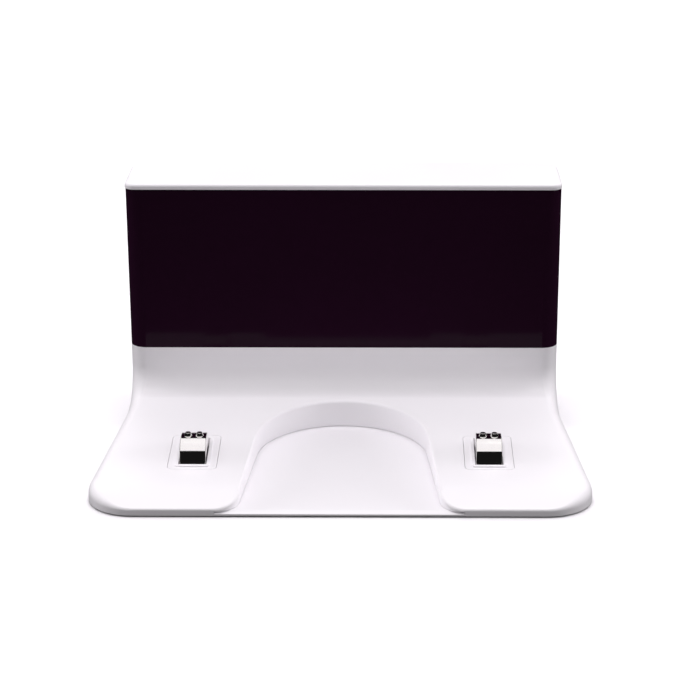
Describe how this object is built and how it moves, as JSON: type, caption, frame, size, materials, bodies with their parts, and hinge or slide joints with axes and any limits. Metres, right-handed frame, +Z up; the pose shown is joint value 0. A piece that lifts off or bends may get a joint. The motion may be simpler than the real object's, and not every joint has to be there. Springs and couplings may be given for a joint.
{
  "type": "robot vacuum charging dock",
  "caption": "Charging dock for a robot vacuum: ramped pads with sprung contact strips flank a caster recess in front of an upright housing with a wide dark infrared window.",
  "frame": {"origin": "middle of the footprint on the floor, under the rubber feet", "axes": "+X across the dock to the right seen from the front, +Y from the ramps towards the back, +Z up"},
  "size_m": [0.15, 0.106, 0.0795],
  "materials": {
    "white_abs": "injection moulded white ABS, satin gloss",
    "dark_window": "infrared-pass dark acrylic, polished",
    "contact_plating": "bright nickel plate on pressed strip",
    "spring_steel": "rolled stainless spring strip",
    "lead_red": "extruded PVC insulation",
    "lead_black": "extruded PVC insulation",
    "lead_brown": "extruded PVC insulation",
    "lead_blue": "extruded PVC insulation",
    "foot_rubber": "moulded rubber, matt",
    "board_laminate": "glass-epoxy laminate with green solder mask",
    "emitter_epoxy": "cast smoked epoxy",
    "ferrite": "sintered ferrite, matt",
    "winding_tape": "polyester tape over copper winding",
    "capacitor_sleeve": "shrunk PVC sleeve",
    "fuse_ceramic": "glazed ceramic tube",
    "terminal_nylon": "moulded natural nylon",
    "chip_epoxy": "transfer-moulded epoxy",
    "inlet_nylon": "moulded glass-filled nylon",
    "pin_brass": "turned brass, bright",
    "screw_zinc": "zinc-plated steel"
  },
  "bodies": {
    "dock": {"base_housing": "white_abs", "bottom_plate": "white_abs", "rear_cover": "white_abs", "ir_window": "dark_window", "contact_holder_left": "white_abs", "contact_holder_right": "white_abs", "contact_spring_left": "spring_steel", "contact_spring_right": "spring_steel", "contact_lead_left": "lead_red", "contact_lead_right": "lead_black", "foot_front_left": "foot_rubber", "foot_front_right": "foot_rubber", "foot_back_left": "foot_rubber", "foot_back_right": "foot_rubber", "main_board": "board_laminate", "ir_emitter_1": "emitter_epoxy", "ir_emitter_2": "emitter_epoxy", "ir_emitter_3": "emitter_epoxy", "ir_emitter_4": "emitter_epoxy", "ir_emitter_5": "emitter_epoxy", "transformer_core": "ferrite", "transformer_winding": "winding_tape", "line_choke": "ferrite", "bulk_capacitor": "capacitor_sleeve", "output_capacitor": "capacitor_sleeve", "mains_fuse": "fuse_ceramic", "mains_terminal": "terminal_nylon", "output_terminal_left": "terminal_nylon", "output_terminal_right": "terminal_nylon", "rectifier_chip": "chip_epoxy", "controller_chip": "chip_epoxy", "power_inlet": "inlet_nylon", "inlet_pins": "pin_brass", "mains_lead_left": "lead_brown", "mains_lead_right": "lead_blue", "base_screws": "screw_zinc", "cover_screws": "screw_zinc", "board_screws": "screw_zinc"},
    "contact_left": {"contact_left": "contact_plating"},
    "contact_right": {"contact_right": "contact_plating"}
  },
  "joints": [
    {"name": "contact_left_press", "type": "slide", "parent": "dock", "child": "contact_left", "axis": [0, 0, -1], "range_m": [0, 0.0026], "stiffness_N_per_m": 200, "springref_m": -0.004, "deforming": ["contact_spring_left"]},
    {"name": "contact_right_press", "type": "slide", "parent": "dock", "child": "contact_right", "axis": [0, 0, -1], "range_m": [0, 0.0026], "stiffness_N_per_m": 200, "springref_m": -0.004, "deforming": ["contact_spring_right"]}
  ]
}
